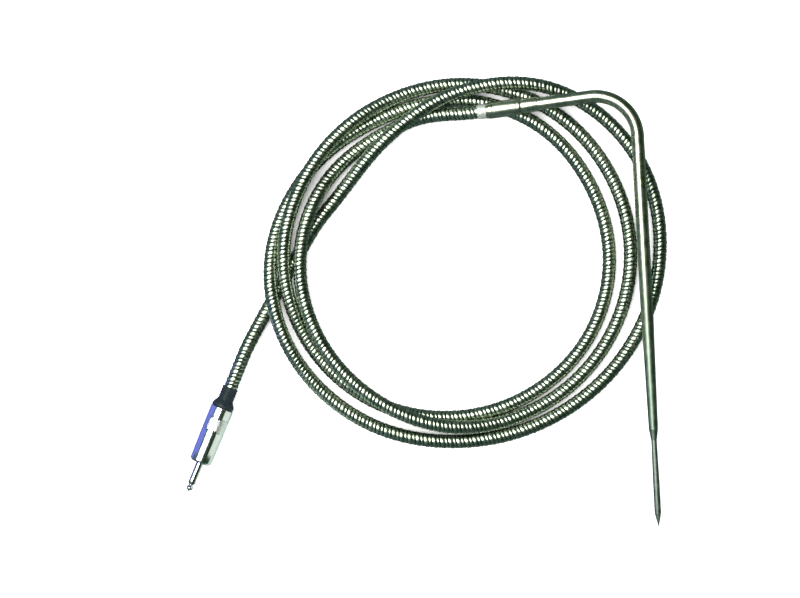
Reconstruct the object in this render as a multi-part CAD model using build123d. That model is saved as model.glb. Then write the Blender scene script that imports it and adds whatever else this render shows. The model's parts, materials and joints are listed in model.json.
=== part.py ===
from build123d import *
import os
from math import atan, cos, pi, radians, sin, tan

os.makedirs("parts", exist_ok=True)

# A right-angled penetration thermocouple on a coiled armoured cable with a 3.5 mm jack plug.
# Millimetres and degrees. It lies on the plane Z = 0 with +Z up. The origin is under the middle of
# the probe, +Y runs from the needle towards the bend, and +X from the cable towards the leg.
# Headings are measured in plan from +X towards +Y. A fall is the drop per millimetre of plan.

# Probe: the axes of the arm and the leg meet at the corner, and stations count from it.
CORNER_X, CORNER_Y = 31.42, 104.95
LEG_HEADING, LEG_FALL = -86.5, 0.0905
ARM_HEADING, ARM_FALL = 187.4, 0.123
BEND_RADIUS = 20.2

STEM_D, STEM_WALL = 6.3, 0.5
STEM_FOOT_D = 4.55
SHOULDER_LIP = 0.1
TAPER_START, TAPER_END = 98.0, 164.0
SHOULDER_END = 170.0

NEEDLE_D, NEEDLE_TOP_D, NEEDLE_WALL = 3.175, 2.75, 0.35
NEEDLE_SOCKET = 4.0
NEEDLE_FULL, POINT_START, TIP = 192.0, 206.0, 213.0
TIP_FLAT_D = 0.3
POINT_SPIGOT = 0.6

WIRE_D, WIRE_SPACING = 0.5, 0.9
BEAD_D, BEAD_STATION = 1.6, 204.6
INSULATION_START, INSULATION_END = 166.5, 203.6
SLEEVING_OD, SLEEVING_ID = 2.5, 1.5
SLEEVING_FOOT = 162.0

BUSH_START, FERRULE_START, COLLAR_START, COLLAR_END = 47.7, 56.0, 72.8, 77.0
BUSH_D, FERRULE_D, COLLAR_D = 7.2, 8.1, 7.5
FERRULE_CHAMFER, FERRULE_NOSE = 0.5, 2.0
COLLAR_SLOPE, COLLAR_LIP = 2.0, 0.15
STEM_INSET = 0.8
POTTING_END = 69.0

# Cable: the coil's turns are read at each clock hour, counter-clockwise from +Y.
CONDUIT_D = 6.8
CONDUIT_PLAY = 0.025
COIL_X, COIL_Y = -52.7, 22.4
HOUR = 30
REACH = (
    (72.6, 72.6, 76.1, 78.0, 78.2, 78.6, 80.4, 80.4, 81.4, 83.1, 84.7, 86.4)
    + (86.7, 85.8, 85.7, 85.9, 83.4, 79.7, 75.4, 72.9, 72.5, 72.8, 73.7, 76.9)
    + (78.9, 80.0, 86.3, 92.3, 93.0, 90.5, 87.4, 88.0, 91.9, 97.2, 100.5, 96.2)
    + (82.8, 70.1, 66.9, 78.4)
)
COIL_START, COIL_END = 90, 1245
# Stretches, in degrees along the cable, where a turn crosses over others.
CROSSINGS = ((160, 186), (216, 258), (494, 516), (528, 552), (900, 926), (1150, 1212))
OUTLINE_STEP = 15
COIL_EDGE = 1.8
CROSSING_INSET = 0.3
LEAD_STRAIGHT = 82.4
LEAD_ROUTE = ((-61.4, 94.3, 7.0), (-73.4, 92.6, 4.1))
TAIL_START = (-145.0, 2.4, CONDUIT_D / 2)
TAIL_BEND = -33.0
TAIL_END = 4.5

# Plug: stations count from the shell's rear face towards the pin.
PLUG_X, PLUG_Y = -168.6, -48.6
PLUG_HEADING = 247.8
SHELL_LENGTH, SHELL_D, SHELL_FRONT_D, SHELL_BORE = 28.8, 11.2, 10.7, 8.4
SHELL_NOSE, SHELL_LIP = 1.0, 3.0
SHELL_EDGE = 0.15
KNURL_START, KNURL_END, KNURL_GROOVE = 5.6, 12.0, 0.2
BOOT_LENGTH, BOOT_NECK, BOOT_NECK_D, BOOT_FLARE_D, BOOT_PLAY = 10.7, 5.9, 7.5, 10.9, 0.15
BOOT_RIBS, RIB_HEIGHT = 4, 0.15
SPIGOT_D = 8.0
RUNNING_GAP = 0.05
LINER_START, LINER_END, LINER_WALL = 3.2, 20.2, 0.5
COLLAR_FACE, COLLAR_BACK = 28.5, 21.0
PIN_D, PIN_BORE, ROD_D = 3.5, 2.4, 1.4
PIN_END, RING_END, PLUG_TIP = 38.9, 39.7, 43.8
TIP_BASE_D, TIP_NECK_D, TIP_POINT_D = 2.9, 2.0, 0.9
LUG_THICK, WASHER_THICK, WASHER_D = 0.5, 0.8, 6.0
SLEEVE_LUG_D, TONGUE_OFFSET, TONGUE_WIDTH = 7.0, 2.25, 3.0
CLAMP_START, CLAMP_END, CLAMP_D = 5.6, 8.0, 4.2
TIP_LUG_D, TAB_OFFSET, TAB_WIDTH, TAB_LENGTH = 3.6, 1.75, 1.6, 5.0
RIVET_D, RIVET_LENGTH = 2.2, 0.6
CORE_D, CORE_END = 3.0, 8.5
PLUG_WIRE_D, PLUG_WIRE_SPACING, PLUG_WIRE_BEND = 0.9, 1.3, 1.5
PLUG_WIRE_RUN = 2.0
NEGATIVE_PAD, POSITIVE_PAD = 13.5, 15.5
SOLDER_D, SOLDER_INSET = 1.5, 0.3


def direction(heading, fall):
    """A unit vector along a heading in plan, dropping by fall for each millimetre of plan."""
    return Vector(cos(radians(heading)), sin(radians(heading)), -fall).normalized()


leg_tilt = atan(LEG_FALL)
corner_height = NEEDLE_D / 2 * cos(leg_tilt) + POINT_START * sin(leg_tilt)
corner = Vector(CORNER_X, CORNER_Y, corner_height)
leg = direction(LEG_HEADING, LEG_FALL)
arm = direction(ARM_HEADING, ARM_FALL)
probe_normal = leg.cross(arm).normalized()
leg_axis = Plane(origin=corner, x_dir=probe_normal, z_dir=leg)
arm_axis = Plane(origin=corner, x_dir=probe_normal, z_dir=arm)

plug_height = SHELL_D / 2
plug_rear = Vector(PLUG_X, PLUG_Y, plug_height)
plug_direction = direction(PLUG_HEADING, 0)
plug_axis = Plane(origin=plug_rear, x_dir=(0, 0, 1), z_dir=plug_direction)


def write(node, solid, colour):
    """Write one piece to its STEP file."""
    solid.label = node
    solid.color = Color(*colour)
    export_step(solid, f"parts/{node}.step")
    pieces[node] = solid


def turned(axis, outline):
    """A solid of revolution: outline holds (station, radius) points around the axis plane's Z."""
    points = [(radius, station) for station, radius in outline]
    face = make_face(Plane.XZ * Polyline(*points, close=True))
    return axis.location * revolve(face, Axis.Z)


def rod(axis, start, end, diameter):
    """A plain cylinder between two stations."""
    return turned(axis, [(start, 0), (start, diameter / 2), (end, diameter / 2), (end, 0)])


def pipe(axis, start, end, outer, inner):
    """A plain hollow cylinder between two stations."""
    return rod(axis, start, end, outer) - rod(axis, start - 1, end + 1, inner)


def along(path, diameter):
    """A round bar that follows a path."""
    section = Plane(origin=path @ 0, z_dir=path % 0) * Circle(diameter / 2)
    return sweep(section, path=path)


def probe_path(arm_end, leg_end, offset=0):
    """The probe's centre line from the arm round the bend, offset square to the probe's plane."""
    shift = probe_normal * offset
    points = [corner + arm * arm_end + shift, corner + shift, corner + leg * leg_end + shift]
    return FilletPolyline(*points, radius=BEND_RADIUS)


# ---------------------------------------------------------------- probe

def stem_solid(inset):
    """The stem's bent and tapered body, shrunk by inset all round."""
    bend = along(probe_path(FERRULE_START - STEM_INSET, TAPER_START), STEM_D - 2 * inset)
    taper = turned(leg_axis, [
        (TAPER_START, 0),
        (TAPER_START, STEM_D / 2 - inset),
        (TAPER_END, STEM_FOOT_D / 2 - inset),
        (TAPER_END, 0),
    ])
    return bend + taper


def needle_solid(inset):
    """The needle from its socket in the shoulder to the spear point, shrunk by inset."""
    return turned(leg_axis, [
        (SHOULDER_END - NEEDLE_SOCKET, 0),
        (SHOULDER_END - NEEDLE_SOCKET, NEEDLE_TOP_D / 2 - inset),
        (SHOULDER_END, NEEDLE_TOP_D / 2 - inset),
        (NEEDLE_FULL, NEEDLE_D / 2 - inset),
        (POINT_START, NEEDLE_D / 2 - inset),
        (POINT_START, 0),
    ])


def thermocouple_wire(side):
    """One conductor from the hot junction to the cable's end, side being 1 or -1."""
    return along(probe_path(POTTING_END, BEAD_STATION, side * WIRE_SPACING / 2), WIRE_D)


def shoulder_cone():
    cone = turned(leg_axis, [
        (TAPER_END, 0),
        (TAPER_END, STEM_FOOT_D / 2),
        (SHOULDER_END, NEEDLE_TOP_D / 2 + SHOULDER_LIP),
        (SHOULDER_END, 0),
    ])
    socket = rod(leg_axis, SHOULDER_END - NEEDLE_SOCKET, SHOULDER_END, NEEDLE_TOP_D)
    return cone - socket - rod(leg_axis, TAPER_END, SHOULDER_END, SLEEVING_ID)


def spear_point():
    bore = NEEDLE_D / 2 - NEEDLE_WALL
    return turned(leg_axis, [
        (POINT_START - POINT_SPIGOT, 0),
        (POINT_START - POINT_SPIGOT, bore),
        (POINT_START, bore),
        (POINT_START, NEEDLE_D / 2),
        (TIP, TIP_FLAT_D / 2),
        (TIP, 0),
    ])


def ferrule():
    radius = FERRULE_D / 2
    outside = turned(arm_axis, [
        (FERRULE_START, 0),
        (FERRULE_START, radius - FERRULE_CHAMFER),
        (FERRULE_START + FERRULE_CHAMFER, radius),
        (COLLAR_START - FERRULE_NOSE, radius),
        (COLLAR_START, COLLAR_D / 2),
        (COLLAR_START, 0),
    ])
    return outside - rod(arm_axis, FERRULE_START, COLLAR_START, CONDUIT_D + 2 * CONDUIT_PLAY)


def braze_collar():
    radius = COLLAR_D / 2
    bead = turned(arm_axis, [
        (COLLAR_START, 0),
        (COLLAR_START, radius),
        (COLLAR_END - COLLAR_SLOPE, radius),
        (COLLAR_END, CONDUIT_D / 2 + COLLAR_LIP),
        (COLLAR_END, 0),
    ])
    return bead - rod(arm_axis, COLLAR_START, COLLAR_END, CONDUIT_D + 2 * CONDUIT_PLAY)


def potting_plug(wires):
    return rod(arm_axis, FERRULE_START, POTTING_END, CONDUIT_D) - wires[0] - wires[1]


# ---------------------------------------------------------------- cable

def reach(angle):
    """The coil's radius at an angle along the cable, on a smooth curve through the hours."""
    hour, part = divmod((angle - COIL_START) / HOUR, 1)
    last = len(REACH) - 1
    a, b, c, d = (REACH[min(max(int(hour) + k, 0), last)] for k in (-1, 0, 1, 2))
    bend = 2 * a - 5 * b + 4 * c - d + part * (3 * (b - c) + d - a)
    return b + part / 2 * (c - a + part * bend)


def around(angle, radius):
    """A point in plan around the coil's middle."""
    return (COIL_X + radius * cos(radians(angle)), COIL_Y + radius * sin(radians(angle)))


def coil_ring():
    """The flat ring that the coil's turns fill, one cable thick."""
    inner, outer = [], []
    for angle in range(0, 360, OUTLINE_STEP):
        turns = [reach(a) for a in range(angle, COIL_END, 360) if a >= COIL_START]
        inner.append(around(angle, min(turns) - CONDUIT_D / 2))
        outer.append(around(angle, max(turns) + CONDUIT_D / 2))
    disc = make_face(Spline(*outer, periodic=True))
    hole = make_face(Spline(*inner, periodic=True))
    ring = extrude(disc - hole, CONDUIT_D)
    top = ring.faces().sort_by(Axis.Z)[-1]
    return chamfer(top.edges(), COIL_EDGE)


def crossing(start, end):
    """The raised stretch of one turn where it lies over others, two cables high."""
    half = CONDUIT_D / 2 - CROSSING_INSET
    angles = [start + (end - start) * k / 6 for k in range(7)]
    outer = Spline(*[around(a, reach(a) + half) for a in angles])
    inner = Spline(*[around(a, reach(a) - half) for a in angles])
    ends = [Line(outer @ k, inner @ k) for k in (0, 1)]
    ribbon = make_face([outer, inner] + ends)
    return Pos(0, 0, CONDUIT_D / 2) * extrude(ribbon, CONDUIT_D * 1.5)


def cable_coil():
    coil = coil_ring()
    for start, end in CROSSINGS:
        coil = coil + crossing(start, end)
    return coil


def cable_tube(name, points):
    """A plain tube through the points, with each arc as large as its two runs allow."""
    points = [Vector(*p) if isinstance(p, tuple) else p for p in points]
    radii = []
    for before, here, after in zip(points, points[1:], points[2:]):
        turn = (here - before).get_angle(after - here)
        run = min((here - before).length, (after - here).length)
        radii.append(0.45 * run / tan(radians(turn) / 2))
    path = FilletPolyline(*points, radius=radii)
    tube = along(path, CONDUIT_D)
    section = pi * (CONDUIT_D / 2) ** 2
    print(name, "length", round(path.length, 1), "radii", [round(r) for r in radii])
    print(name, "volume over section times length", round(tube.volume / section / path.length, 4))
    return tube


def lead_points():
    """From inside the ferrule, straight out of it, then down to the coil."""
    start = corner + arm * POTTING_END
    return [start, corner + arm * LEAD_STRAIGHT] + list(LEAD_ROUTE)


def tail_points():
    """From under the coil, up to the plug's axis and straight into the shell."""
    bend = plug_rear + plug_direction * TAIL_BEND
    return [TAIL_START, bend, plug_rear + plug_direction * TAIL_END]


# ---------------------------------------------------------------- plug

def plug_boot():
    """The rubber boot: a ribbed neck on the cable, a flare, and a spigot inside the shell."""
    neck, flare = BOOT_NECK_D / 2, BOOT_FLARE_D / 2
    flare_start = BOOT_NECK - BOOT_LENGTH
    outline = [(-BOOT_LENGTH, 0), (-BOOT_LENGTH, neck)]
    pitch = BOOT_NECK / BOOT_RIBS
    for rib in range(BOOT_RIBS):
        base = -BOOT_LENGTH + pitch * rib
        outline += [
            (base + pitch * 0.25, neck + RIB_HEIGHT),
            (base + pitch * 0.6, neck + RIB_HEIGHT),
            (base + pitch, neck),
        ]
    outline += [
        (flare_start * 0.55, neck + (flare - neck) * 0.45),
        (flare_start * 0.25, flare),
        (0, flare),
        (0, SPIGOT_D / 2 - RUNNING_GAP),
        (SHELL_LIP, SPIGOT_D / 2 - RUNNING_GAP),
        (SHELL_LIP, 0),
    ]
    bore = CONDUIT_D + 2 * BOOT_PLAY
    return turned(plug_axis, outline) - rod(plug_axis, -BOOT_LENGTH, SHELL_LIP, bore)


def plug_shell():
    """The screwed shell: a tapering barrel with a knurled band, bored from the front."""
    radius, front, bore = SHELL_D / 2, SHELL_FRONT_D / 2, SHELL_BORE / 2
    outside = turned(plug_axis, [
        (0, 0),
        (0, radius - SHELL_EDGE),
        (SHELL_EDGE, radius),
        (KNURL_START - 2 * KNURL_GROOVE, radius),
        (KNURL_START - KNURL_GROOVE, radius - KNURL_GROOVE),
        (KNURL_START, radius),
        (KNURL_END, radius),
        (KNURL_END + KNURL_GROOVE, radius - KNURL_GROOVE),
        (KNURL_END + 2 * KNURL_GROOVE, radius),
        (SHELL_LENGTH - SHELL_NOSE, front),
        (SHELL_LENGTH, front - SHELL_NOSE),
        (SHELL_LENGTH, 0),
    ])
    hole = turned(plug_axis, [
        (-1, 0),
        (-1, SPIGOT_D / 2),
        (SHELL_LIP, SPIGOT_D / 2),
        (SHELL_LIP, bore),
        (SHELL_LENGTH + 1, bore),
        (SHELL_LENGTH + 1, 0),
    ])
    return outside - hole


def shell_liner():
    """The plastic sleeve that keeps the terminals off the shell."""
    outer = SHELL_BORE - 2 * RUNNING_GAP
    return pipe(plug_axis, LINER_START, LINER_END, outer, outer - 2 * LINER_WALL)


def plug_sleeve():
    """The sleeve contact: a collar that the shell screws onto, and the pin's hollow body."""
    collar = SHELL_BORE / 2 - RUNNING_GAP
    outside = turned(plug_axis, [
        (COLLAR_BACK, 0),
        (COLLAR_BACK, collar),
        (COLLAR_FACE, collar),
        (COLLAR_FACE, PIN_D / 2),
        (PIN_END, PIN_D / 2),
        (PIN_END, 0),
    ])
    return outside - rod(plug_axis, COLLAR_BACK - 1, PIN_END + 1, PIN_BORE)


def sleeve_insulator():
    """The black tube between sleeve and rod, with the ring that shows before the tip."""
    tube = rod(plug_axis, COLLAR_BACK - LUG_THICK, PIN_END, PIN_BORE)
    ring = rod(plug_axis, PIN_END, RING_END, PIN_D)
    return tube + ring - rod(plug_axis, COLLAR_BACK - 2, RING_END + 1, ROD_D)


def lug_faces():
    """Rear faces of the sleeve lug, the washer and the tip lug."""
    sleeve_lug_back = COLLAR_BACK - LUG_THICK
    washer_back = sleeve_lug_back - WASHER_THICK
    return sleeve_lug_back, washer_back, washer_back - LUG_THICK


def tip_contact():
    """The centre rod, riveted behind the tip lug, with the jack's necked and pointed tip."""
    lug_back = lug_faces()[2]
    return turned(plug_axis, [
        (lug_back - RIVET_LENGTH, 0),
        (lug_back - RIVET_LENGTH, RIVET_D / 2),
        (lug_back, RIVET_D / 2),
        (lug_back, ROD_D / 2),
        (RING_END, ROD_D / 2),
        (RING_END, TIP_BASE_D / 2),
        (RING_END + 0.5, TIP_NECK_D / 2),
        (RING_END + 1.0, TIP_NECK_D / 2),
        (RING_END + 2.2, PIN_D / 2),
        (RING_END + 2.6, PIN_D / 2),
        (PLUG_TIP - 0.3, TIP_POINT_D / 2),
        (PLUG_TIP, 0),
    ])


def plug_bar(start, end, offset, width, thick):
    """A flat bar along the plug, offset upwards from its axis."""
    middle = (start + end) / 2
    return plug_axis.location * Pos(offset, 0, middle) * Box(thick, width, end - start)


def sleeve_lug():
    """The ring behind the collar, with a tongue back to the clamp round the cable's core."""
    back = lug_faces()[0]
    ring = pipe(plug_axis, back, COLLAR_BACK, SLEEVE_LUG_D, PIN_BORE + RUNNING_GAP)
    tongue = plug_bar(CLAMP_START, COLLAR_BACK, -TONGUE_OFFSET, TONGUE_WIDTH, LUG_THICK)
    clamp = rod(plug_axis, CLAMP_START, CLAMP_END, CLAMP_D)
    return ring + tongue + clamp - rod(plug_axis, CLAMP_START - 1, CLAMP_END + 1, CORE_D)


def rear_insulator():
    sleeve_lug_back, washer_back, _ = lug_faces()
    tongue = plug_bar(washer_back, sleeve_lug_back, -TONGUE_OFFSET, TONGUE_WIDTH, LUG_THICK)
    return pipe(plug_axis, washer_back, sleeve_lug_back, WASHER_D, ROD_D) - tongue


def tip_lug():
    _, washer_back, lug_back = lug_faces()
    disc = rod(plug_axis, lug_back, washer_back, TIP_LUG_D)
    tab = plug_bar(lug_back - TAB_LENGTH, washer_back, TAB_OFFSET, TAB_WIDTH, LUG_THICK)
    return disc + tab - rod(plug_axis, lug_back - 1, washer_back + 1, ROD_D)


def plug_wire(side, pad, station):
    """One conductor from the cable's core to its lug, side being 1 upwards or -1 downwards."""
    start = Vector(side * PLUG_WIRE_SPACING / 2, 0, CORE_END)
    knee = start + Vector(0, 0, PLUG_WIRE_RUN)
    rise = Vector(side * pad, 0, station - PLUG_WIRE_RUN)
    end = Vector(side * pad, 0, station)
    path = FilletPolyline(start, knee, rise, end, radius=PLUG_WIRE_BEND)
    return plug_axis.location * along(path, PLUG_WIRE_D)


def solder_joint(side, pad, station, others):
    """A blob of solder round a conductor's end, cut away where the wire and its lug are."""
    blob = plug_axis.location * Pos(side * pad, 0, station - SOLDER_INSET) * Sphere(SOLDER_D / 2)
    for other in others:
        blob = blob - other
    return blob


# ---------------------------------------------------------------- assembly

STEEL, CABLE, CHROME = (0.75, 0.74, 0.70), (0.6, 0.62, 0.6), (0.85, 0.85, 0.87)
BRASS, SOLDER, GREEN = (0.8, 0.66, 0.35), (0.7, 0.71, 0.72), (0.2, 0.55, 0.3)
BLACK, WHITE = (0.05, 0.05, 0.06), (0.9, 0.89, 0.84)
pieces = {}

wires = [thermocouple_wire(1), thermocouple_wire(-1)]
bead = leg_axis.location * Pos(0, 0, BEAD_STATION) * Sphere(BEAD_D / 2)
needle_bore = needle_solid(NEEDLE_WALL)
filling = needle_bore & rod(leg_axis, INSULATION_START, INSULATION_END, NEEDLE_D)
sleeving_path = probe_path(FERRULE_START, SLEEVING_FOOT)

write("stem_tube", stem_solid(0) - stem_solid(STEM_WALL), STEEL)
write("reducer_cone", shoulder_cone(), STEEL)
write("needle_tube", needle_solid(0) - needle_bore, STEEL)
write("spear_point", spear_point(), STEEL)
write("hot_junction", bead - wires[0] - wires[1], SOLDER)
write("positive_wire", wires[0], GREEN)
write("negative_wire", wires[1], WHITE)
write("needle_insulation", filling - wires[0] - wires[1], WHITE)
write("stem_sleeving", along(sleeving_path, SLEEVING_OD) - along(sleeving_path, SLEEVING_ID), WHITE)
write("stem_bush", pipe(arm_axis, BUSH_START, FERRULE_START, BUSH_D, STEM_D), STEEL)
write("ferrule", ferrule(), STEEL)
write("braze_collar", braze_collar(), SOLDER)
write("potting_plug", potting_plug(wires), BLACK)

write("cable_lead", cable_tube("cable_lead", lead_points()), CABLE)
write("cable_coil", cable_coil(), CABLE)
write("cable_tail", cable_tube("cable_tail", tail_points()), CABLE)

plug_sleeve_lug, plug_tip_lug = sleeve_lug(), tip_lug()
negative_offset = TONGUE_OFFSET - LUG_THICK / 2 - PLUG_WIRE_D / 2
positive_offset = TAB_OFFSET - LUG_THICK / 2 - PLUG_WIRE_D / 2
positive_lead = plug_wire(1, positive_offset, POSITIVE_PAD)
negative_lead = plug_wire(-1, negative_offset, NEGATIVE_PAD)
solder = solder_joint(1, positive_offset, POSITIVE_PAD, [positive_lead, plug_tip_lug])
solder = solder + solder_joint(-1, negative_offset, NEGATIVE_PAD, [negative_lead, plug_sleeve_lug])

write("plug_boot", plug_boot(), BLACK)
write("plug_shell", plug_shell(), CHROME)
write("shell_liner", shell_liner(), WHITE)
write("plug_sleeve", plug_sleeve(), CHROME)
write("sleeve_insulator", sleeve_insulator(), BLACK)
write("tip_contact", tip_contact(), CHROME)
write("rear_insulator", rear_insulator(), BLACK)
write("sleeve_lug", plug_sleeve_lug, BRASS)
write("tip_lug", plug_tip_lug, BRASS)
write("lead_core_end", rod(plug_axis, TAIL_END, CORE_END, CORE_D), WHITE)
write("positive_lead", positive_lead, GREEN)
write("negative_lead", negative_lead, WHITE)
write("solder_joints", solder, SOLDER)

probe_nodes = list(pieces)[:list(pieces).index("cable_lead")]
box = Compound([pieces[node] for node in probe_nodes]).bounding_box()
print("probe middle and lowest point", [round(v, 2) for v in (*box.center(), box.min.Z)])
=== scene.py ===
import json
from math import cos, pi, radians, sin, tan

import bmesh
import bpy
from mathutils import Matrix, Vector, noise


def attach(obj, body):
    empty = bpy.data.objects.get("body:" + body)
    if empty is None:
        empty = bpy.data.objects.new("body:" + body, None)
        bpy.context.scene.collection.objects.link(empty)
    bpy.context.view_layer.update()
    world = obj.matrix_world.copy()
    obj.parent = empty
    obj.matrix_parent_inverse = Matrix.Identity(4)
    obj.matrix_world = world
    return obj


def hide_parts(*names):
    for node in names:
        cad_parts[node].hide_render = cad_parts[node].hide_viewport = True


# A right-angled penetration thermocouple on a coiled armoured cable with a 3.5 mm jack plug.
# Metres. +Z is up, +Y runs from the needle towards the bend, and it all lies on the plane Z = 0.
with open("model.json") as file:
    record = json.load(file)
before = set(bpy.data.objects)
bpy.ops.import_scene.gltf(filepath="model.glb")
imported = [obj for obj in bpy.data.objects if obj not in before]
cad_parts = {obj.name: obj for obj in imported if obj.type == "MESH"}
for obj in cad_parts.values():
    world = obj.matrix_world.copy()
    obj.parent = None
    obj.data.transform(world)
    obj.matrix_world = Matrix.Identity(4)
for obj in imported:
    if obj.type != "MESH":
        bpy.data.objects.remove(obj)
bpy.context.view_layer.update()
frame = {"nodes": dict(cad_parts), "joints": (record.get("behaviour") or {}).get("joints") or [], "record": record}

MM = 0.001
ROUND = 72
SHARP_ANGLE = radians(32)

# Studio: the tent and the floor, and what polished metal sees in place of them.
CAMERA_PLACE, LENS = (-0.0820, 0.0044, 1.467), 135
TENT, TEAL_CARD, OLIVE_CARD = (1.8, 1.8, 1.8, 1), (0.09, 0.16, 0.18, 1), (0.017, 0.040, 0.015, 1)
FLOOR_TONE, FLOOR_CARD = (0.93, 0.93, 0.93, 1), (0.030, 0.050, 0.047, 1)
FLOOR_SIZE, FLOOR_DROP = 24, 0.00005
# Round cards on the floor beside the plug: the middle and the tone.
PLUG_CARD_RADIUS = 0.036
PLUG_CARDS = (
    ((-0.140, -0.085, 0.0), (0.24, 0.30, 0.27, 1)),
    ((-0.210, -0.046, 0.0), (0.07, 0.08, 0.30, 1)),
)
# Softboxes: place, target, size, watts and colour.
PLUG_MIDDLE = (-0.1737, -0.0596, 0.0056)
SOFTBOXES = {
    "key": ((-0.85, 0.38, 2.2), (-0.05, 0, 0), 1.9, 82, (1.0, 0.99, 0.95)),
    "plug_right": ((-0.1365, -0.0744, 0.020), PLUG_MIDDLE, 0.036, 0.0038, (0.94, 1.0, 0.93)),
    "plug_left": ((-0.2202, -0.0411, 0.014), PLUG_MIDDLE, 0.04, 0.0035, (0.16, 0.17, 1.0)),
}

# Probe: stations count from the corner where the axes of the arm and the leg meet.
# Along the stem they are negative on the arm and positive on the leg.
ARM_HEADING, ARM_FALL = 187.4, 0.123
NEEDLE_MOUNT_STATION = 0.199
BEND_RADIUS = 0.0202
STEM_D, STEM_WALL, STEM_FOOT_D = 0.0063, 0.0005, 0.00455
TAPER_START, TAPER_END, SHOULDER_END = 0.098, 0.164, 0.170
BUSH_START, FERRULE_START, COLLAR_START, COLLAR_END = 0.0477, 0.0560, 0.0728, 0.0770
BUSH_D, FERRULE_D, COLLAR_D = 0.0072, 0.0081, 0.0075
FERRULE_CHAMFER, FERRULE_NOSE = 0.0005, 0.0020
FERRULE_GROOVE_NEAR, FERRULE_GROOVE_FAR = 0.0020, 0.0032
STEM_INSET = 0.0008
NEEDLE_D, NEEDLE_TOP_D, NEEDLE_WALL, NEEDLE_SOCKET = 0.003175, 0.00275, 0.00035, 0.004
NEEDLE_FULL, POINT_START, TIP = 0.192, 0.206, 0.213

# Cable: the route from inside the ferrule to inside the plug's shell.
CONDUIT_D = 0.0068
CABLE_START, LEAD_STRAIGHT = 0.069, 0.0824
LEAD_ROUTE = ((-0.0614, 0.0943, 0.0070), (-0.0734, 0.0926, 0.0041))
TAIL_ROUTE = (
    (-0.1293, 0.0302, 0.0034),
    (-0.1374, 0.0164, 0.0034),
    (-0.1450, 0.0024, 0.0035),
)
TAIL_BEND, TAIL_STRAIGHT, TAIL_END = -0.033, -0.023, 0.0045
COIL_MIDDLE = (-0.0527, 0.0224)
COIL_HOUR, COIL_ZERO = 30, 90
COIL_REACH = (
    (0.0726, 0.0726, 0.0761, 0.0780, 0.0782, 0.0786, 0.0804, 0.0804, 0.0814, 0.0831, 0.0847, 0.0864)
    + (0.0867, 0.0858, 0.0857, 0.0859, 0.0834, 0.0797, 0.0754, 0.0729, 0.0725, 0.0728, 0.0737, 0.0769)
    + (0.0789, 0.0800, 0.0863, 0.0923, 0.0930, 0.0905, 0.0874, 0.0880, 0.0919, 0.0972, 0.1005, 0.0962)
    + (0.0828, 0.0701, 0.0669, 0.0784)
)
COIL_START, COIL_END, COIL_STEP = 115, 1245, 10
# Where a turn lies over others, in degrees along the coil: the rise, the top and the fall.
HUMPS = (
    (140, 160, 256, 298),
    (468, 488, 549, 573),
    (888, 903, 924, 944),
    (1124, 1154, 1204, 1236),
)
HUMP_HEIGHT = 0.0072

# Conduit strip: (share of the pitch, depth below the crown) over one wide and one narrow ridge.
STRIP_PITCH = 0.004
STRIP_PROFILE = (
    (0.000, 0.00050),
    (0.045, 0.00018),
    (0.150, 0.00004),
    (0.290, 0.00000),
    (0.430, 0.00004),
    (0.530, 0.00018),
    (0.570, 0.00040),
    (0.610, 0.00026),
    (0.690, 0.00014),
    (0.785, 0.00010),
    (0.880, 0.00014),
    (0.960, 0.00026),
)
STRIP_DEEPEST = 0.0005
CONDUIT_ROUND = 18

# Plug: stations count from the shell's rear face towards the pin.
SHELL_LENGTH, SHELL_D, SHELL_FRONT_D, SHELL_BORE = 0.0288, 0.0112, 0.0107, 0.0084
SHELL_NOSE, SHELL_LIP, SPIGOT_D = 0.001, 0.003, 0.008
KNURL_START, KNURL_END, KNURL_GROOVE = 0.0056, 0.0120, 0.0002
KNURL_DEPTH, KNURL_COUNT, KNURL_RING = 0.00016, 36, 0.00033
SHELL_ROUND = 216
BOOT_LENGTH, BOOT_NECK, BOOT_NECK_D, BOOT_FLARE_D, BOOT_PLAY = 0.0107, 0.0059, 0.0075, 0.0109, 0.00015
BOOT_RIBS, RIB_HEIGHT = 4, 0.00015
RUNNING_GAP = 0.00005
COLLAR_BACK, COLLAR_FACE, THREAD_END = 0.0210, 0.0285, 0.0268
THREAD_PITCH, THREAD_DEPTH = 0.00075, 0.0003
PIN_D, PIN_BORE, ROD_D = 0.0035, 0.0024, 0.0014
PIN_END, RING_END, PLUG_TIP = 0.0389, 0.0397, 0.0438
RIVET_BACK, RIVET_END, RIVET_D = 0.0186, 0.0192, 0.0022
TIP_BASE_D, TIP_NECK_D, TIP_POINT_D = 0.0029, 0.0020, 0.0009

mounts = {mount["name"]: mount for mount in frame["record"]["mounts"]}
joints = {joint["name"]: joint for joint in frame["joints"]}
leg = Vector(mounts["needle"]["axis"]).normalized()
corner = Vector(mounts["needle"]["pos_m"]) - leg * NEEDLE_MOUNT_STATION
arm = Vector((cos(radians(ARM_HEADING)), sin(radians(ARM_HEADING)), -ARM_FALL)).normalized()
plug = Vector(joints["shell_turn"]["axis"]).normalized()
plug_rear = Vector(joints["shell_turn"]["pos_m"])
UP = Vector((0, 0, 1))
LEG_AXIS, ARM_AXIS, PLUG_AXIS = (corner, leg), (corner, arm), (plug_rear, plug)


# ---------------------------------------------------------------- camera, floor and lights

def look_at(thing, target):
    thing.rotation_euler = (Vector(target) - thing.location).to_track_quat("-Z", "Y").to_euler()


def camera():
    """A long lens straight above, with +Y up in the picture."""
    data = bpy.data.cameras.new("camera")
    data.lens, data.sensor_width = LENS, 36
    data.clip_end = 50
    thing = bpy.data.objects.new("camera", data)
    thing.location = CAMERA_PLACE
    bpy.context.scene.collection.objects.link(thing)
    bpy.context.scene.camera = thing


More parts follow.
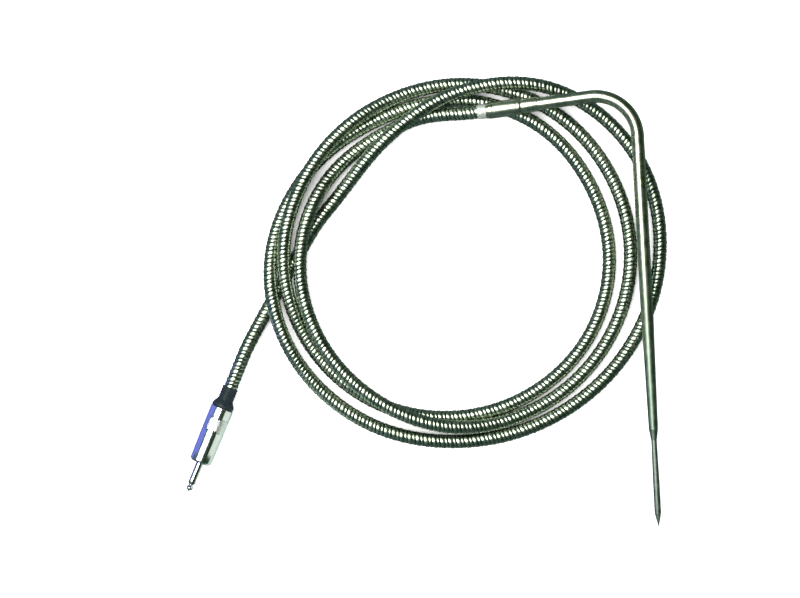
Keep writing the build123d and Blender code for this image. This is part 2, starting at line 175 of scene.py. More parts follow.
def softbox(name, place, target, size, power, colour):
    data = bpy.data.lights.new(name, "AREA")
    data.shape = "SQUARE"
    data.size, data.energy, data.color = size, power, colour
    thing = bpy.data.objects.new(name, data)
    thing.location = place
    thing.visible_camera = False
    bpy.context.scene.collection.objects.link(thing)
    look_at(thing, target)


def add(tree, kind, links=None, **settings):
    """A new node: links gives each input a value or the output that feeds it."""
    node = tree.nodes.new(kind)
    for key, value in settings.items():
        setattr(node, key, value)
    for key, value in (links or {}).items():
        if isinstance(value, bpy.types.NodeSocket):
            tree.links.new(value, node.inputs[key])
        else:
            node.inputs[key].default_value = value
    return node


def blend_colour(tree, share, first, second):
    """The output of a colour mix of two colours or outputs."""
    mix = add(tree, "ShaderNodeMix", data_type="RGBA")
    for key, value in ((0, share), (6, first), (7, second)):
        if isinstance(value, bpy.types.NodeSocket):
            tree.links.new(value, mix.inputs[key])
        else:
            mix.inputs[key].default_value = value
    return mix.outputs[2]


def floor():
    """A pale plain floor. Polished metal sees it darker, as it does between black studio cards,
    with one light and one blue card beside the plug.
    """
    bpy.ops.mesh.primitive_plane_add(size=FLOOR_SIZE, location=(0, 0, -FLOOR_DROP))
    thing = bpy.context.object
    thing.name = "floor"
    material = bpy.data.materials.new("floor")
    material.use_nodes = True
    tree = material.node_tree
    rays = add(tree, "ShaderNodeLightPath")
    shader = tree.nodes["Principled BSDF"]
    where = add(tree, "ShaderNodeNewGeometry").outputs["Position"]
    cards = FLOOR_CARD
    for middle, tone in PLUG_CARDS:
        apart = add(tree, "ShaderNodeVectorMath", {0: where, 1: middle}, operation="DISTANCE")
        links = {0: apart.outputs["Value"], 1: PLUG_CARD_RADIUS}
        inside = add(tree, "ShaderNodeMath", links, operation="LESS_THAN")
        cards = blend_colour(tree, inside.outputs[0], cards, tone)
    colour = blend_colour(tree, rays.outputs["Is Glossy Ray"], FLOOR_TONE, cards)
    tree.links.new(colour, shader.inputs["Base Color"])
    shader.inputs["Roughness"].default_value = 0.9
    shader.inputs["Specular IOR Level"].default_value = 0.1
    thing.data.materials.append(material)


def surroundings():
    """A pale tent for the floor and the background, with dark teal and olive cards in the gloss."""
    world = bpy.data.worlds.new("studio")
    bpy.context.scene.world = world
    world.use_nodes = True
    # Sampling the tent as a lamp would show rough metal the pale tent in place of the cards.
    world.cycles.sampling_method = "NONE"
    tree = world.node_tree
    rays = add(tree, "ShaderNodeLightPath")
    where = add(tree, "ShaderNodeTexCoord")
    apart = add(tree, "ShaderNodeSeparateXYZ", {0: where.outputs["Generated"]})
    side = add(tree, "ShaderNodeMapRange", {0: apart.outputs["X"], 1: -0.5, 2: 0.5})
    cards = blend_colour(tree, side.outputs[0], TEAL_CARD, OLIVE_CARD)
    light = blend_colour(tree, rays.outputs["Is Glossy Ray"], TENT, cards)
    tree.links.new(light, tree.nodes["Background"].inputs["Color"])


# ---------------------------------------------------------------- materials

def material_of(name, metallic, **constants):
    """A new material with its tree and its shader, and the constants set on the shader."""
    material = bpy.data.materials.new(name)
    material.use_nodes = True
    tree = material.node_tree
    shader = tree.nodes["Principled BSDF"]
    shader.inputs["Metallic"].default_value = metallic
    for key, value in constants.items():
        shader.inputs[key.replace("_", " ")].default_value = value
    return material, tree, shader


def cloud(tree, scale, detail=4, stretch=(1, 1, 1)):
    """Noise in the piece's own space, with features of about 1 / scale metres."""
    where = add(tree, "ShaderNodeTexCoord").outputs["Object"]
    place = add(tree, "ShaderNodeMapping", {"Vector": where, "Scale": stretch}).outputs[0]
    links = {"Vector": place, "Scale": scale, "Detail": detail}
    return add(tree, "ShaderNodeTexNoise", links).outputs["Fac"]


def attribute(tree, name):
    return add(tree, "ShaderNodeAttribute", attribute_name=name).outputs["Fac"]


def turning_marks(tree, scale):
    """Fine rings square to the piece's axis, from its stations."""
    links = {"W": attribute(tree, "station"), "Scale": scale, "Detail": 5}
    return add(tree, "ShaderNodeTexNoise", links, noise_dimensions="1D").outputs["Fac"]


def spread(tree, value, low, high, start=0.35, end=0.65):
    """Maps noise from start..end to low..high."""
    return add(tree, "ShaderNodeMapRange", {0: value, 1: start, 2: end, 3: low, 4: high}).outputs[0]


def bump(tree, shader, height, depth, strength=1.0, under=None):
    """Adds a bump of that depth in metres, on top of another bump's output if there is one."""
    links = {"Height": height, "Distance": depth, "Strength": strength}
    if under:
        links["Normal"] = under
    result = add(tree, "ShaderNodeBump", links).outputs[0]
    tree.links.new(result, shader.inputs["Normal"])
    return result


def feed(tree, shader, key, value):
    tree.links.new(value, shader.inputs[key])


def stem_steel():
    """Polished stainless tube with fine turning marks and cloudy wear; towards the needle it is rougher, and
    darker with painted shade.
    """
    material, tree, shader = material_of("stem_steel", 1.0)
    wear = cloud(tree, 260)
    marks = turning_marks(tree, 5200)
    # Painted shade: from station 0.04 m to 0.15 m the base colour blends to the darker tones below, and the
    # roughness rises.
    down = spread(tree, attribute(tree, "station"), 0, 1, 0.04, 0.15)
    tone = blend_colour(tree, spread(tree, wear, 0, 1), (0.50, 0.52, 0.40, 1), (0.66, 0.67, 0.52, 1))
    # dull: the darker tones of that painted shade towards the needle.
    dull = blend_colour(tree, spread(tree, wear, 0, 1), (0.24, 0.33, 0.25, 1), (0.32, 0.42, 0.33, 1))
    feed(tree, shader, "Base Color", blend_colour(tree, down, tone, dull))
    dulling = add(tree, "ShaderNodeMath", {0: down, 1: 0.16}, operation="MULTIPLY").outputs[0]
    links = {0: spread(tree, wear, 0.22, 0.30), 1: dulling}
    feed(tree, shader, "Roughness", add(tree, "ShaderNodeMath", links, operation="ADD").outputs[0])
    bump(tree, shader, marks, 0.000008, 0.15)
    return material


def needle_steel():
    """Satin ground needle: rougher than the stem, with long fine scratches, and its tone darkened with painted
    shade.
    """
    material, tree, shader = material_of("needle_steel", 1.0)
    wear = cloud(tree, 420)
    # Painted shade: these dark tones carry on the stem's darkening towards the needle.
    tone = blend_colour(tree, spread(tree, wear, 0, 1), (0.22, 0.28, 0.24, 1), (0.32, 0.38, 0.33, 1))
    feed(tree, shader, "Base Color", tone)
    feed(tree, shader, "Roughness", spread(tree, wear, 0.44, 0.56))
    bump(tree, shader, turning_marks(tree, 7000), 0.00001, 0.5)
    return material


def armour_steel():
    """Interlocked strip: bright crowns, grooves darkened with painted shade and a grey-green cast in patches."""
    material, tree, shader = material_of("armour_steel", 1.0)
    groove = attribute(tree, "groove")
    patches = cloud(tree, 330, 3)
    dull, bright = (0.38, 0.46, 0.36, 1), (0.58, 0.64, 0.51, 1)
    crown = blend_colour(tree, spread(tree, patches, 0, 1), dull, bright)
    # Painted shade: the base colour goes near black with the depth of the strip's grooves.
    depth = spread(tree, groove, 0, 1, 0.30, 0.85)
    feed(tree, shader, "Base Color", blend_colour(tree, depth, crown, (0.03, 0.045, 0.04, 1)))
    feed(tree, shader, "Roughness", spread(tree, patches, 0.23, 0.32))
    bump(tree, shader, cloud(tree, 2600, 3), 0.00003, 0.4)
    return material


def braze():
    """Frosted brazed ring: whitish, rough and slightly pitted."""
    material, tree, shader = material_of("braze", 0.85)
    grain = cloud(tree, 1500, 5)
    tone = blend_colour(tree, spread(tree, grain, 0, 1), (0.50, 0.55, 0.50, 1), (0.86, 0.87, 0.82, 1))
    feed(tree, shader, "Base Color", tone)
    feed(tree, shader, "Roughness", spread(tree, grain, 0.42, 0.62))
    bump(tree, shader, grain, 0.00012, 0.8)
    return material


def plug_chrome():
    """Bright nickel plate with faint turning marks and a few dull spots."""
    material, tree, shader = material_of("plug_chrome", 1.0)
    spots = cloud(tree, 700, 5)
    tone = blend_colour(tree, spread(tree, spots, 0, 1), (0.70, 0.73, 0.73, 1), (0.80, 0.81, 0.79, 1))
    feed(tree, shader, "Base Color", tone)
    feed(tree, shader, "Roughness", spread(tree, spots, 0.12, 0.18))
    bump(tree, shader, turning_marks(tree, 6000), 0.000006, 0.12)
    return material


def boot_rubber():
    """Black moulded rubber with a soft sheen and a dusty grain."""
    material, tree, shader = material_of("boot_rubber", 0.0, Specular_IOR_Level=0.2)
    grain = cloud(tree, 1800, 4)
    dark, light = (0.003, 0.006, 0.008, 1), (0.011, 0.020, 0.025, 1)
    tone = blend_colour(tree, spread(tree, grain, 0, 1), dark, light)
    feed(tree, shader, "Base Color", tone)
    feed(tree, shader, "Roughness", spread(tree, grain, 0.34, 0.50))
    bump(tree, shader, grain, 0.00004, 0.5)
    return material


def plain_metal(name, dark, light, low, high, scale):
    """A cast or pressed metal whose tone and gloss wander."""
    material, tree, shader = material_of(name, 1.0)
    wear = cloud(tree, scale)
    feed(tree, shader, "Base Color", blend_colour(tree, spread(tree, wear, 0, 1), dark, light))
    feed(tree, shader, "Roughness", spread(tree, wear, low, high))
    bump(tree, shader, wear, 0.00004, 0.4)
    return material


def moulding(name, dark, light, low, high):
    """A moulded plastic, resin or packed powder, with a fine grain."""
    material, tree, shader = material_of(name, 0.0)
    grain = cloud(tree, 2200, 3)
    feed(tree, shader, "Base Color", blend_colour(tree, spread(tree, grain, 0, 1), dark, light))
    feed(tree, shader, "Roughness", spread(tree, grain, low, high))
    bump(tree, shader, grain, 0.00003, 0.4)
    return material


def glass_sleeving():
    """Woven glass yarn: two crossed sets of ribs over an off-white tone."""
    material, tree, shader = material_of("glass_sleeving", 0.0)
    where = add(tree, "ShaderNodeTexCoord").outputs["Object"]
    ribs = []
    for turn in (-0.8, 0.8):
        place = add(tree, "ShaderNodeMapping", {"Vector": where, "Rotation": (0, 0, turn)}).outputs[0]
        wave = add(tree, "ShaderNodeTexWave", {"Vector": place, "Scale": 900, "Distortion": 0.6})
        ribs.append(wave.outputs["Fac"])
    weave = add(tree, "ShaderNodeMath", {0: ribs[0], 1: ribs[1]}, operation="MAXIMUM").outputs[0]
    tone = blend_colour(tree, weave, (0.52, 0.48, 0.38, 1), (0.84, 0.81, 0.72, 1))
    feed(tree, shader, "Base Color", tone)
    feed(tree, shader, "Roughness", spread(tree, weave, 0.75, 0.5, 0, 1))
    bump(tree, shader, weave, 0.00008, 0.7)
    return material


def all_materials():
    made = {
        "stem_steel": stem_steel(),
        "needle_steel": needle_steel(),
        "armour_steel": armour_steel(),
        "braze": braze(),
        "plug_chrome": plug_chrome(),
        "boot_rubber": boot_rubber(),
        "glass_sleeving": glass_sleeving(),
    }
    for name, dark, light, low, high, scale in (
        ("weld_bead", (0.30, 0.31, 0.30, 1), (0.55, 0.54, 0.50, 1), 0.3, 0.5, 2500),
        ("lug_brass", (0.60, 0.42, 0.16, 1), (0.83, 0.64, 0.30, 1), 0.22, 0.38, 900),
        ("solder", (0.52, 0.53, 0.54, 1), (0.75, 0.76, 0.77, 1), 0.2, 0.42, 1800),
    ):
        made[name] = plain_metal(name, dark, light, low, high, scale)
    for name, dark, light, low, high in (
        ("positive_insulation", (0.05, 0.28, 0.10, 1), (0.10, 0.42, 0.17, 1), 0.35, 0.5),
        ("negative_insulation", (0.72, 0.71, 0.66, 1), (0.86, 0.85, 0.80, 1), 0.35, 0.5),
        ("mineral_fill", (0.66, 0.64, 0.58, 1), (0.88, 0.87, 0.82, 1), 0.8, 0.95),
        ("potting_resin", (0.010, 0.010, 0.011, 1), (0.035, 0.034, 0.032, 1), 0.25, 0.4),
        ("liner_plastic", (0.62, 0.61, 0.55, 1), (0.78, 0.77, 0.71, 1), 0.35, 0.5),
        ("insulator_plastic", (0.008, 0.008, 0.009, 1), (0.022, 0.022, 0.024, 1), 0.28, 0.42),
    ):
        made[name] = moulding(name, dark, light, low, high)
    return made


# ---------------------------------------------------------------- meshes

def finished(name, mesh, slot, body, nodes):
    """Makes the mesh a smooth piece that rides on its body and stands for its CAD nodes."""
    mesh.polygons.foreach_set("use_smooth", [True] * len(mesh.polygons))
    mesh.set_sharp_from_angle(angle=SHARP_ANGLE)
    piece = bpy.data.objects.new(name, mesh)
    bpy.context.scene.collection.objects.link(piece)
    mesh.materials.append(materials[slot])
    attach(piece, body)
    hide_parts(*nodes)
    return piece


def skin(name, rings, stations, hollow):
    """A closed mesh through rings of points. A hollow one joins its last ring to its first."""
    count = len(rings[0])
    pairs = list(zip(range(len(rings)), range(1, len(rings))))
    if hollow:
        pairs.append((len(rings) - 1, 0))
    faces = []
    for a, b in pairs:
        for k in range(count):
            after = (k + 1) % count
            faces.append((a * count + k, a * count + after, b * count + after, b * count + k))
    if not hollow:
        faces.append(range(count))
        faces.append(range((len(rings) - 1) * count, len(rings) * count))
    mesh = bpy.data.meshes.new(name)
    mesh.from_pydata([point for ring in rings for point in ring], [], faces)
    values = [station for station in stations for _ in range(count)]
    mesh.attributes.new("station", "FLOAT", "POINT").data.foreach_set("value", values)
    work = bmesh.new()
    work.from_mesh(mesh)
    bmesh.ops.recalc_face_normals(work, faces=work.faces)
    work.to_mesh(mesh)
    work.free()
    return mesh


def ring(centre, along, side, radii):
    """Points round a centre, one for each radius."""
    across = along.cross(side)
    points = []
    for k, radius in enumerate(radii):
        angle = 2 * pi * k / len(radii)
        points.append(centre + (side * cos(angle) + across * sin(angle)) * radius)
    return points


def rounded(outline, size, closed):
    """The outline with a small curve in place of each corner."""
    count = len(outline)
    points = []
    for k, here in enumerate(outline):
        if not closed and k in (0, count - 1):
            points.append(here)
            continue
        here = Vector(here)
        back = Vector(outline[k - 1]) - here
        on = Vector(outline[(k + 1) % count]) - here
        start = here + back.normalized() * min(size, back.length * 0.45)
        end = here + on.normalized() * min(size, on.length * 0.45)
        for t in (0, 1 / 3, 2 / 3, 1):
            points.append(tuple(start * (1 - t) ** 2 + here * 2 * t * (1 - t) + end * t * t))
    return points


def lathe(name, axis, outline, hollow=False, edge=0.00012, relief=None, count=ROUND):
    """A mesh of revolution. relief(station, angle) lowers its surface."""
    origin, along = axis
    side = along.orthogonal().normalized()
    outline = rounded(outline, edge, hollow) if edge else outline
    rings = []
    for station, radius in outline:
        radii = [radius] * count
        if relief:
            radii = [radius - relief(station, radius, 2 * pi * k / count) for k in range(count)]
        rings.append(ring(origin + along * station, along, side, radii))
    return skin(name, rings, [station for station, _ in outline], hollow)


# ---------------------------------------------------------------- probe

bend_turn = (-arm).angle(leg)
BEND_TANGENT = BEND_RADIUS * tan(bend_turn / 2)
bend_outward = -(arm + leg).normalized()
bend_forward = (leg - arm).normalized()
bend_middle = corner - bend_outward * BEND_RADIUS / cos(bend_turn / 2)
probe_normal = leg.cross(arm).normalized()


def stem_point(station):
    """The stem's centre and direction at a station."""
    if station <= -BEND_TANGENT:
        return corner - arm * station, -arm
    if station >= BEND_TANGENT:
        return corner + leg * station, leg
    angle = station / BEND_TANGENT * bend_turn / 2
    out = bend_outward * cos(angle) + bend_forward * sin(angle)
    return bend_middle + out * BEND_RADIUS, bend_forward * cos(angle) - bend_outward * sin(angle)


def stem_radius(station):
    share = min(max((station - TAPER_START) / (TAPER_END - TAPER_START), 0), 1)
    return (STEM_D + (STEM_FOOT_D - STEM_D) * share) / 2


def stem_tube():
    """The bent and tapered tube, with its wall."""
    arm_end = -(FERRULE_START - STEM_INSET)
    stations = [arm_end + (-BEND_TANGENT - arm_end) * k / 12 for k in range(12)]
    stations += [BEND_TANGENT * (k / 20 - 1) for k in range(41)]
    stations += [BEND_TANGENT + (TAPER_START - BEND_TANGENT) * k / 16 for k in range(1, 17)]
    stations += [TAPER_START + (TAPER_END - TAPER_START) * k / 16 for k in range(1, 17)]
    outside, inside = [], []
    for station in stations:
        centre, along = stem_point(station)
        radius = stem_radius(station)
        outside.append(ring(centre, along, probe_normal, [radius] * ROUND))
        inside.append(ring(centre, along, probe_normal, [radius - STEM_WALL] * ROUND))
    mesh = skin("stem", outside + inside[::-1], stations + stations[::-1], True)
    return finished("stem", mesh, "stem_steel", "probe_and_cable", ["stem_tube"])


def shoulder():
    """The reducing cone brazed between the stem and the needle."""
    foot, top = STEM_FOOT_D / 2, NEEDLE_TOP_D / 2
    outline = [
        (TAPER_END, 0.00075),
        (TAPER_END, foot),
        (TAPER_END + 0.0008, foot - 0.00002),
        (SHOULDER_END - 0.0004, top + 0.00018),
        (SHOULDER_END, top + 0.0001),
        (SHOULDER_END, top),
        (SHOULDER_END - NEEDLE_SOCKET, top),
        (SHOULDER_END - NEEDLE_SOCKET, 0.00075),
    ]
    mesh = lathe("shoulder", LEG_AXIS, outline, True, 0.00015)
    return finished("shoulder", mesh, "stem_steel", "probe_and_cable", ["reducer_cone"])


def needle():
    """The thin tube that carries the junction."""
    top, full = NEEDLE_TOP_D / 2, NEEDLE_D / 2
    outline = [
        (SHOULDER_END - NEEDLE_SOCKET, top - NEEDLE_WALL),
        (SHOULDER_END - NEEDLE_SOCKET, top),
        (SHOULDER_END, top),
        (NEEDLE_FULL, full),
        (POINT_START, full),
        (POINT_START, full - NEEDLE_WALL),
        (NEEDLE_FULL, full - NEEDLE_WALL),
        (SHOULDER_END, top - NEEDLE_WALL),
    ]
    mesh = lathe("needle", LEG_AXIS, outline, True, 0.00004)
    return finished("needle", mesh, "needle_steel", "probe_and_cable", ["needle_tube"])


def spear_point():
    """The ground point, welded into the needle's end."""
    full, bore = NEEDLE_D / 2, NEEDLE_D / 2 - NEEDLE_WALL
    outline = [
        (POINT_START - 0.0006, bore),
        (POINT_START, bore),
        (POINT_START + 0.00003, full - 0.00006),
        (POINT_START + 0.0002, full),
        (POINT_START + 0.0005, full - 0.00004),
        (TIP - 0.0003, 0.0002),
        (TIP, 0.00008),
    ]
    mesh = lathe("needle_point", LEG_AXIS, outline, False, 0.00003)
    return finished("needle_point", mesh, "needle_steel", "probe_and_cable", ["spear_point"])


def bush():
    outline = [
        (BUSH_START, STEM_D / 2),
        (BUSH_START, BUSH_D / 2),
        (FERRULE_START - FERRULE_CHAMFER, BUSH_D / 2),
        (FERRULE_START, BUSH_D / 2 - 0.00035),
        (FERRULE_START, STEM_D / 2),
    ]
    mesh = lathe("bush", ARM_AXIS, outline, True, 0.00015)
    return finished("bush", mesh, "stem_steel", "probe_and_cable", ["stem_bush"])


def ferrule():
    """The sleeve that joins stem and cable, with a turned groove near each end."""
    radius, bore = FERRULE_D / 2, CONDUIT_D / 2
    groove_depth, groove_half_width = 0.00012, 0.00015
    outline = [
        (FERRULE_START, bore),
        (FERRULE_START, radius - FERRULE_CHAMFER),
        (FERRULE_START + FERRULE_CHAMFER, radius),
    ]
    for middle in (FERRULE_START + FERRULE_GROOVE_NEAR, COLLAR_START - FERRULE_GROOVE_FAR):
        outline += [
            (middle - groove_half_width, radius),
            (middle, radius - groove_depth),
            (middle + groove_half_width, radius),
        ]
    outline.append((COLLAR_START - FERRULE_NOSE, radius))
    outline += [(COLLAR_START, COLLAR_D / 2), (COLLAR_START, bore)]
    mesh = lathe("ferrule_sleeve", ARM_AXIS, outline, True, 0.0001)
    return finished("ferrule_sleeve", mesh, "stem_steel", "probe_and_cable", ["ferrule"])


def braze_ring():
    """The frosted ring of braze, uneven where it has run along the cable."""
    bore, full = CONDUIT_D / 2, COLLAR_D / 2
    lump_depth, lumps_round, lumps_along = 0.00012, 2.2, 0.9
    steps, slope_start, lip = 10, 0.55, 0.00015

    def lumps(station, radius, angle):
        share = (radius - bore) / (full - bore)
        place = (cos(angle) * lumps_round, sin(angle) * lumps_round, station / MM * lumps_along)
        return max(share, 0) * lump_depth * (1 + noise.noise(Vector(place)))

    outline = [(COLLAR_START, bore), (COLLAR_START, full)]
    for k in range(1, steps + 1):
        share = k / steps
        drop = max(share - slope_start, 0) / (1 - slope_start)
        radius = full - (full - bore - lip) * drop ** 1.5
        outline.append((COLLAR_START + (COLLAR_END - COLLAR_START) * share, radius))
    outline.append((COLLAR_END, bore))
    mesh = lathe("braze_ring", ARM_AXIS, outline, True, 0.0001, lumps)
    return finished("braze_ring", mesh, "braze", "probe_and_cable", ["braze_collar"])


# ---------------------------------------------------------------- cable

def smooth(value):
    value = min(max(value, 0), 1)
    return value * value * (3 - 2 * value)


def coil_reach(angle):
    """The coil's radius at an angle along the cable, on a smooth curve through the clock hours."""
    hour, part = divmod((angle - COIL_ZERO) / COIL_HOUR, 1)
    last = len(COIL_REACH) - 1
    a, b, c, d = (COIL_REACH[min(max(int(hour) + k, 0), last)] for k in (-1, 0, 1, 2))
    bend = 2 * a - 5 * b + 4 * c - d + part * (3 * (b - c) + d - a)
    return b + part / 2 * (c - a + part * bend)


def coil_height(angle):
    """The height of the cable's middle: on the floor, or over the turns below it."""
    lifts = [
        smooth((angle - rise) / (top - rise)) * smooth((down - angle) / (down - end))
        for rise, top, end, down in HUMPS
    ]
    return CONDUIT_D / 2 + HUMP_HEIGHT * max(lifts)


def coil_point(angle):
    """A control point of the coil, a little outside it, because the spline cuts its corners."""
    reach = coil_reach(angle) / cos(radians(COIL_STEP / 2))
    x = COIL_MIDDLE[0] + reach * cos(radians(angle))
    y = COIL_MIDDLE[1] + reach * sin(radians(angle))
    return (x, y, coil_height(angle))


def route():
    """Control points from inside the ferrule, round the coil and into the plug."""
    points = [corner + arm * CABLE_START, corner + arm * LEAD_STRAIGHT]
    points += LEAD_ROUTE
    points += [coil_point(angle) for angle in range(COIL_START, COIL_END + 1, COIL_STEP)]
    points += TAIL_ROUTE
    points += [plug_rear + plug * station for station in (TAIL_BEND, TAIL_STRAIGHT, TAIL_END)]
    return points


def centre_line(points):
    """Points read from the smooth spline through the route."""
    data = bpy.data.curves.new("route", "CURVE")
    data.dimensions = "3D"
    data.resolution_u = 12
    spline = data.splines.new("NURBS")
    spline.points.add(len(points) - 1)
    for point, place in zip(spline.points, points):
        point.co = (*place, 1)
    spline.order_u = 3
    spline.use_endpoint_u = True
    thing = bpy.data.objects.new("route", data)
    bpy.context.scene.collection.objects.link(thing)
    line = bpy.data.meshes.new_from_object(thing)
    places = [vertex.co.copy() for vertex in line.vertices]
    bpy.data.objects.remove(thing)
    bpy.data.meshes.remove(line)
    return places


class Line:
    """A centre line that gives its place and direction at a length along it."""

    def __init__(self, places):
        self.places = places
        self.lengths = [0]
        for before, after in zip(places, places[1:]):
            self.lengths.append(self.lengths[-1] + (after - before).length)
        last = len(places) - 1
        self.directions = [
            (places[min(k + 1, last)] - places[max(k - 1, 0)]).normalized() for k in range(last + 1)
        ]
        self.total = self.lengths[-1]
        self.at = 0

    def frame(self, length):
        """Place, side and up. Lengths are asked for nearly in order."""
        while self.at > 0 and self.lengths[self.at] > length:
            self.at -= 1
        while self.at < len(self.places) - 2 and self.lengths[self.at + 1] < length:
            self.at += 1
        k = self.at
        share = (length - self.lengths[k]) / (self.lengths[k + 1] - self.lengths[k])
        place = self.places[k].lerp(self.places[k + 1], share)
        along = self.directions[k].lerp(self.directions[k + 1], share).normalized()
        side = along.cross(UP).normalized()
        return place, side, side.cross(along)


def conduit_mesh(line):
    """Interlocked strip wound round the line: each row of points follows the helix for one turn."""
    rows_per_turn = len(STRIP_PROFILE)
    turns = int(line.total / STRIP_PITCH) + 2
    end_radius = CONDUIT_D / 2 - STRIP_DEEPEST
    points, grooves, stations = [], [], []
    for turn in range(-1, turns):
        for share, depth in STRIP_PROFILE:
            for k in range(CONDUIT_ROUND):
                asked = (turn + share + k / CONDUIT_ROUND) * STRIP_PITCH
                length = min(max(asked, 0), line.total)
                place, side, up = line.frame(length)
                angle = -2 * pi * k / CONDUIT_ROUND
                radius = CONDUIT_D / 2 - depth if length == asked else end_radius
                points.append(place + (side * cos(angle) + up * sin(angle)) * radius)
                grooves.append(depth / STRIP_DEEPEST)
                stations.append(length)
    rows = (turns + 1) * rows_per_turn
    faces = []
    for row in range(rows - rows_per_turn - 1):
        for k in range(CONDUIT_ROUND):
            after, skip = (k + 1, 0) if k + 1 < CONDUIT_ROUND else (0, rows_per_turn)
            quad = ((row, k), (row + 1, k), (row + 1 + skip, after), (row + skip, after))
            faces.append([r * CONDUIT_ROUND + c for r, c in quad])
    mesh = bpy.data.meshes.new("armoured_cable")
    mesh.from_pydata(points, [], faces)
    mesh.attributes.new("groove", "FLOAT", "POINT").data.foreach_set("value", grooves)
    mesh.attributes.new("station", "FLOAT", "POINT").data.foreach_set("value", stations)
    work = bmesh.new()
    work.from_mesh(mesh)
    bmesh.ops.remove_doubles(work, verts=work.verts, dist=1e-7)
    loose = [vertex for vertex in work.verts if not vertex.link_faces]
    bmesh.ops.delete(work, geom=loose, context="VERTS")
    rims = [edge for edge in work.edges if edge.is_boundary]
    bmesh.ops.holes_fill(work, edges=rims, sides=0)
    bmesh.ops.recalc_face_normals(work, faces=work.faces)
    work.to_mesh(mesh)
    work.free()
    return mesh


def cable():
    places = centre_line(route())
    mesh = conduit_mesh(Line(places))
    nodes = ["cable_lead", "cable_coil", "cable_tail"]
    piece = finished("armoured_cable", mesh, "armour_steel", "probe_and_cable", nodes)
    return piece


# ---------------------------------------------------------------- plug

def boot():
    """The rubber boot, with rounded ribs on its neck and a flare against the shell."""
    neck, flare = BOOT_NECK_D / 2, BOOT_FLARE_D / 2
    flare_start = BOOT_NECK - BOOT_LENGTH
    bore = CONDUIT_D / 2 + BOOT_PLAY
    pitch = BOOT_NECK / BOOT_RIBS
    rib_steps, rib_share, dip = 12, 0.72, 0.0001
    flare_steps, flare_length = 8, (BOOT_LENGTH - BOOT_NECK) * 0.78
    outline = [(-BOOT_LENGTH, bore), (-BOOT_LENGTH, neck - dip)]
    for rib in range(BOOT_RIBS):
        for k in range(rib_steps):
            station = (rib + k / rib_steps) * pitch - BOOT_LENGTH + dip
            swell = max(sin(pi * min(k / rib_steps / rib_share, 1)), 0) ** 0.5
            outline.append((station, neck + RIB_HEIGHT * swell - dip * (1 - swell)))
    for k in range(flare_steps + 1):
        share = k / flare_steps
        radius = neck + (flare - neck) * smooth(share)
        outline.append((flare_start + flare_length * share, radius))
    outline += [
        (-0.0003, flare),
        (0, flare - 0.0004),
        (0, SPIGOT_D / 2 - RUNNING_GAP),
        (SHELL_LIP, SPIGOT_D / 2 - RUNNING_GAP),
        (SHELL_LIP, bore),
    ]
    mesh = lathe("strain_boot", PLUG_AXIS, outline, True, 0.00008)
    return finished("strain_boot", mesh, "boot_rubber", "boot", ["plug_boot"])


def knurl(station, radius, angle):
    """Crossed cuts inside the band, fading at its ends."""
    if radius < SHELL_FRONT_D / 2 or not KNURL_START < station < KNURL_END:
        return 0
    pitch = pi * SHELL_D / KNURL_COUNT
    turn = angle / (2 * pi) * KNURL_COUNT
    cuts = [abs((turn + lean * station / pitch) % 1 - 0.5) * 2 for lean in (-1, 1)]
    ends = min(station - KNURL_START, KNURL_END - station)
    return KNURL_DEPTH * max(cuts) ** 2 * smooth(ends / KNURL_RING)


def shell():
    """The screwed barrel with its knurled band between two grooves."""
    radius, front, bore = SHELL_D / 2, SHELL_FRONT_D / 2, SHELL_BORE / 2
    outline = [(0, radius - 0.00035), (0.00035, radius), (KNURL_START - 2 * KNURL_GROOVE, radius)]
    outline += [(KNURL_START - KNURL_GROOVE, radius - KNURL_GROOVE), (KNURL_START, radius)]
    rings = round((KNURL_END - KNURL_START) / KNURL_RING)
    outline += [(KNURL_START + (KNURL_END - KNURL_START) * k / rings, radius) for k in range(1, rings)]
    outline += [
        (KNURL_END, radius),
        (KNURL_END + KNURL_GROOVE, radius - KNURL_GROOVE),
        (KNURL_END + 2 * KNURL_GROOVE, radius),
        (SHELL_LENGTH - SHELL_NOSE, front),
        (SHELL_LENGTH, front - SHELL_NOSE),
        (SHELL_LENGTH, bore),
        (SHELL_LIP, bore),
        (SHELL_LIP, SPIGOT_D / 2),
        (0, SPIGOT_D / 2),
    ]
    mesh = lathe("barrel", PLUG_AXIS, outline, True, 0.00012, knurl, SHELL_ROUND)
    return finished("barrel", mesh, "plug_chrome", "shell", ["plug_shell"])


def sleeve_contact():
    """The plug's body: a threaded collar inside the shell, and the hollow pin."""
    collar, pin = SHELL_BORE / 2 - RUNNING_GAP, PIN_D / 2
    outline = [(COLLAR_BACK, PIN_BORE / 2)]
    threads = int((THREAD_END - COLLAR_BACK) / THREAD_PITCH)
    for k in range(threads):
        back = COLLAR_BACK + k * THREAD_PITCH
        outline += [(back, collar - THREAD_DEPTH), (back + THREAD_PITCH * 0.5, collar)]
    outline += [
        (COLLAR_BACK + threads * THREAD_PITCH, collar - THREAD_DEPTH),
        (THREAD_END, collar),
        (COLLAR_FACE - 0.0003, collar),
        (COLLAR_FACE, collar - 0.0003),
        (COLLAR_FACE, pin + 0.0002),
        (COLLAR_FACE + 0.0002, pin),
        (PIN_END - 0.00015, pin),
        (PIN_END, pin - 0.00015),
        (PIN_END, PIN_BORE / 2),
    ]
    mesh = lathe("sleeve_contact", PLUG_AXIS, outline, True, 0.00008)
    return finished("sleeve_contact", mesh, "plug_chrome", "probe_and_cable", ["plug_sleeve"])


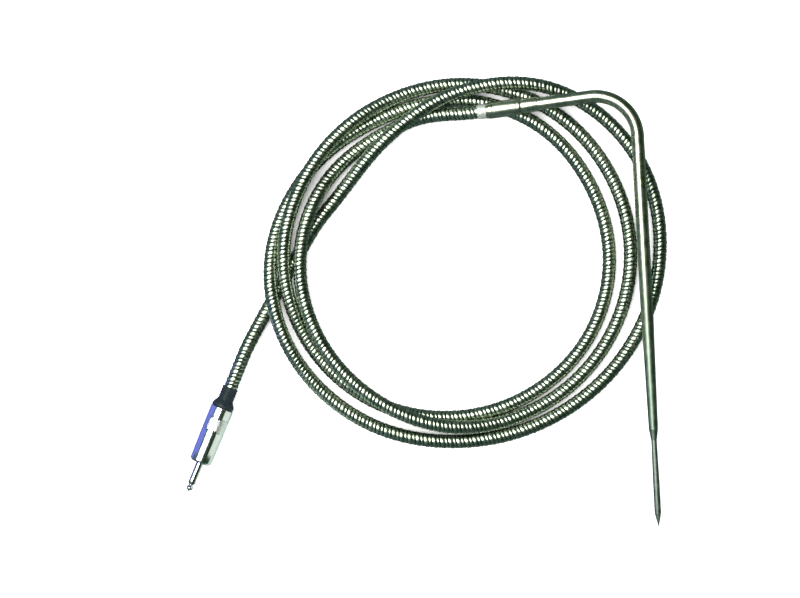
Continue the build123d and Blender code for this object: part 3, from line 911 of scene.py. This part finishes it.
def jack_tip():
    """The centre rod with its riveted end and the necked and pointed tip."""
    rod, rivet = ROD_D / 2, RIVET_D / 2
    outline = [
        (RIVET_BACK, 0.0006),
        (RIVET_BACK + 0.0002, rivet),
        (RIVET_END, rivet),
        (RIVET_END, rod),
        (RING_END, rod),
        (RING_END, TIP_BASE_D / 2),
        (RING_END + 0.00045, TIP_NECK_D / 2 + 0.0001),
        (RING_END + 0.00075, TIP_NECK_D / 2),
        (RING_END + 0.00105, TIP_NECK_D / 2 + 0.0001),
        (RING_END + 0.0022, PIN_D / 2),
        (RING_END + 0.0026, PIN_D / 2),
        (PLUG_TIP - 0.0003, TIP_POINT_D / 2),
        (PLUG_TIP, 0.0002),
    ]
    mesh = lathe("jack_tip", PLUG_AXIS, outline, False, 0.00015)
    return finished("jack_tip", mesh, "plug_chrome", "probe_and_cable", ["tip_contact"])


# ---------------------------------------------------------------- assembly

# CAD nodes whose shape stays, by the material each one gets.
KEPT = {
    "weld_bead": ["hot_junction"],
    "positive_insulation": ["positive_wire", "positive_lead"],
    "negative_insulation": ["negative_wire", "negative_lead"],
    "mineral_fill": ["needle_insulation"],
    "glass_sleeving": ["stem_sleeving", "lead_core_end"],
    "potting_resin": ["potting_plug"],
    "liner_plastic": ["shell_liner"],
    "insulator_plastic": ["sleeve_insulator", "rear_insulator"],
    "lug_brass": ["sleeve_lug", "tip_lug"],
    "solder": ["solder_joints"],
}

camera()
floor()
surroundings()
for name, setting in SOFTBOXES.items():
    softbox(name, *setting)
bpy.context.scene.view_settings.view_transform = "Standard"

materials = all_materials()
for slot_name, node_names in KEPT.items():
    for node_name in node_names:
        kept = frame["nodes"][node_name]
        kept.data.materials.clear()
        kept.data.materials.append(materials[slot_name])

stem_tube()
shoulder()
needle()
spear_point()
bush()
ferrule()
braze_ring()

on_cable = [boot(), shell(), sleeve_contact(), jack_tip()]
on_cable += ["shell_liner", "sleeve_insulator", "rear_insulator", "sleeve_lug", "tip_lug"]
on_cable += ["lead_core_end", "positive_lead", "negative_lead", "solder_joints"]
cable()
